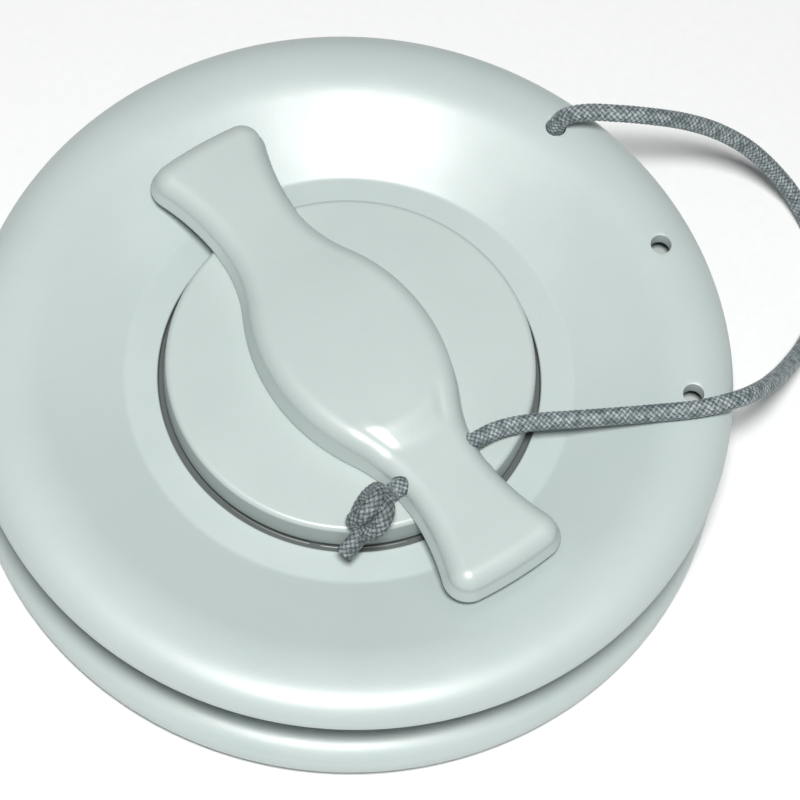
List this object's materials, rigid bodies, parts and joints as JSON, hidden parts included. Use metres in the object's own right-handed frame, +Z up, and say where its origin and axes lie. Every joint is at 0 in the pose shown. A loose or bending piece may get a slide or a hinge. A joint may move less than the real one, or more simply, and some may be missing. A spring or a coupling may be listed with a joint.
{
  "type": "deck fill cap",
  "caption": "Through-deck fill fitting with a dished deck flange, backing flange, bayonet cap with wing handle and braided lanyard.",
  "frame": {"origin": "centre of the neck's lower end, on the plane that the fitting stands on", "axes": "+Z up along the neck's axis, out of the deck; +X along the cap's wing handle as it is stored; the lanyard leaves towards +Y"},
  "size_m": [0.16, 0.1952, 0.0429],
  "materials": {
    "flange_plastic": "satin moulded plastic, pale grey-green",
    "cap_plastic": "satin moulded plastic, pale grey-green",
    "seal_rubber": "matt black rubber",
    "insert_brass": "machined brass",
    "screw_steel": "plain stainless steel",
    "lanyard_cord": "braided grey polyester cord"
  },
  "bodies": {
    "deck_flange": {"deck_flange": "flange_plastic", "deck_gasket": "seal_rubber", "thread_inserts": "insert_brass", "clamp_screws": "screw_steel", "clamp_washers": "screw_steel", "flange_knot": "lanyard_cord", "lanyard_flange_half": "lanyard_cord"},
    "backing_flange": {"backing_flange": "flange_plastic", "backing_gasket": "seal_rubber"},
    "cap_seal": {"cap_face_seal": "seal_rubber"},
    "cap": {"plug_body": "cap_plastic", "plug_o_ring": "seal_rubber", "cap_disc": "cap_plastic", "wing_handle": "cap_plastic", "handle_centre_insert": "insert_brass", "handle_side_inserts": "insert_brass", "centre_screw": "screw_steel", "centre_washer": "screw_steel", "side_screws": "screw_steel", "side_washers": "screw_steel", "lanyard_cap_half": "lanyard_cord", "handle_knot": "lanyard_cord"}
  },
  "joints": [
    {"name": "backing_slide", "type": "slide", "parent": "deck_flange", "child": "backing_flange", "axis": [0, 0, 1], "range_m": [0, 0.011]},
    {"name": "cap_lift", "type": "slide", "parent": "deck_flange", "child": "cap_seal", "axis": [0, 0, 1], "range_m": [0, 0.06]},
    {"name": "cap_turn", "type": "hinge", "parent": "cap_seal", "child": "cap", "pos_m": [0, 0, 0.0296], "axis": [0, 0, 1], "range_deg": [-60, 0]}
  ]
}
